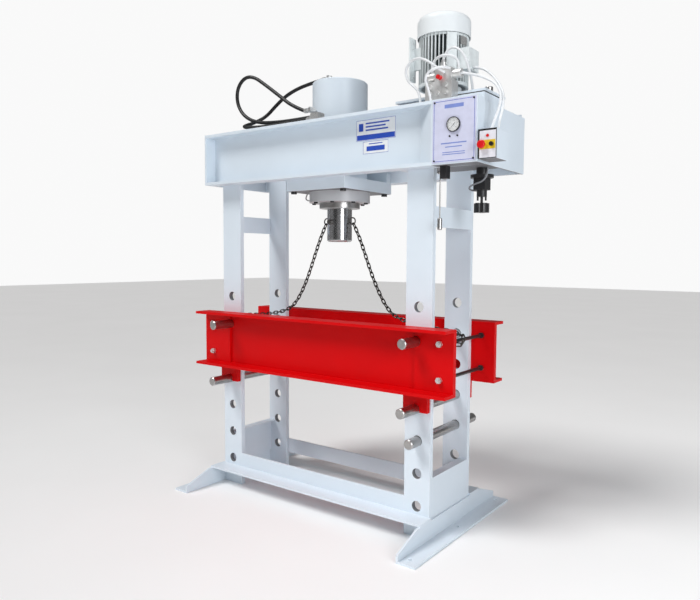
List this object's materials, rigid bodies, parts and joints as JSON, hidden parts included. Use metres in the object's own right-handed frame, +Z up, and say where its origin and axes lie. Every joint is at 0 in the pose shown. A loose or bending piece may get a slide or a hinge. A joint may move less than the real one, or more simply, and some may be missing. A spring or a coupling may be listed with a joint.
{
  "type": "hydraulic workshop press",
  "caption": "Gantry workshop press: slotted uprights, head with hydraulic cylinder and motor, pinned red table and side control box.",
  "frame": {"origin": "floor level, midway between the two pairs of uprights", "axes": "+X to the control side, -Y to the operator in front, +Z up"},
  "size_m": [2.126, 1.11, 2.763],
  "materials": {
    "pale_paint": "satin",
    "red_paint": "satin",
    "dark_steel": "satin",
    "bright_steel": "satin",
    "polished_steel": "polished",
    "zinc_steel": "satin",
    "black_steel": "satin",
    "black_rubber": "matte",
    "grey_rubber": "matte",
    "white_plastic": "matte",
    "black_plastic": "matte",
    "red_plastic": "gloss",
    "pale_plastic": "matte",
    "clear_glass": "gloss",
    "cast_alloy": "satin"
  },
  "bodies": {
    "frame": {"base_rails": "pale_paint", "bellhousing": "cast_alloy", "chain_left": "dark_steel", "chain_right": "dark_steel", "control_box": "pale_paint", "control_hose": "grey_rubber", "creep_valve": "black_steel", "cross_pins": "bright_steel", "cross_plates": "pale_paint", "cylinder_barrel": "pale_paint", "cylinder_bolts": "black_steel", "cylinder_flange": "bright_steel", "cylinder_mount_plate": "dark_steel", "fan_cover": "cast_alloy", "feet": "pale_paint", "filler_cap": "bright_steel", "gauge_case": "black_plastic", "gauge_glass": "clear_glass", "gland_ring": "bright_steel", "head_beam_back": "pale_paint", "head_beam_front": "pale_paint", "head_end_plates": "pale_paint", "hydraulic_fittings": "zinc_steel", "instrument_panel": "pale_paint", "label_plates": "pale_plastic", "lever_valve": "black_steel", "motor_body": "cast_alloy", "oil_tank": "pale_paint", "panel_screws": "black_steel", "pressure_hose_lower": "black_rubber", "pressure_hose_upper": "black_rubber", "pump": "dark_steel", "solenoid_valves": "bright_steel", "switch_box": "white_plastic", "switch_conduits": "white_plastic", "switch_plate": "pale_plastic", "switch_seal": "black_rubber", "table_beam_back": "red_paint", "table_beam_front": "red_paint", "tank_gasket": "black_rubber", "tank_lid": "pale_paint", "tie_rods": "black_steel", "upright_back_left": "pale_paint", "upright_back_right": "pale_paint", "upright_front_left": "pale_paint", "upright_front_right": "pale_paint", "valve_conduit_left": "white_plastic", "valve_conduit_right": "white_plastic", "valve_manifold": "bright_steel"},
    "ram": {"ram": "polished_steel", "ram_nose": "polished_steel", "ram_eyes": "dark_steel", "piston": "bright_steel"},
    "needle": {"gauge_needle": "black_steel"},
    "rotor": {"motor_shaft": "bright_steel", "motor_fan": "white_plastic"},
    "estop": {"estop_button": "red_plastic"},
    "selector": {"selector_switch": "black_plastic"},
    "lever": {"hand_lever": "bright_steel"},
    "creep": {"creep_knob": "black_plastic"}
  },
  "joints": [
    {"name": "ram_slide", "type": "slide", "parent": "frame", "child": "ram", "axis": [0, 0, -1], "range_m": [0, 0.38], "deforming": ["chain_left", "chain_right"]},
    {"name": "gauge_needle", "type": "hinge", "parent": "frame", "child": "needle", "pos_m": [0.956, -0.3285, 2.158], "axis": [0, 1, 0], "range_deg": [0, 270], "stiffness_Nm_per_rad": 0.01},
    {"name": "motor_rotor", "type": "hinge", "parent": "frame", "child": "rotor", "pos_m": [0.77, -0.1, 2.5], "axis": [0, 0, 1], "continuous": true},
    {"name": "estop_press", "type": "slide", "parent": "frame", "child": "estop", "axis": [0, 1, 0], "range_m": [0, 0.005], "stiffness_N_per_m": 400},
    {"name": "selector_turn", "type": "hinge", "parent": "frame", "child": "selector", "pos_m": [1.164, -0.335, 2.043], "axis": [0, 1, 0], "range_deg": [-45, 45]},
    {"name": "lever_swing", "type": "hinge", "parent": "frame", "child": "lever", "pos_m": [0.862, -0.268, 1.94], "axis": [1, 0, 0], "range_deg": [-20, 20], "stiffness_Nm_per_rad": 6},
    {"name": "creep_turn", "type": "hinge", "parent": "frame", "child": "creep", "pos_m": [0.984, -0.06, 1.85], "axis": [0, 0, 1], "range_deg": [-180, 180]}
  ]
}
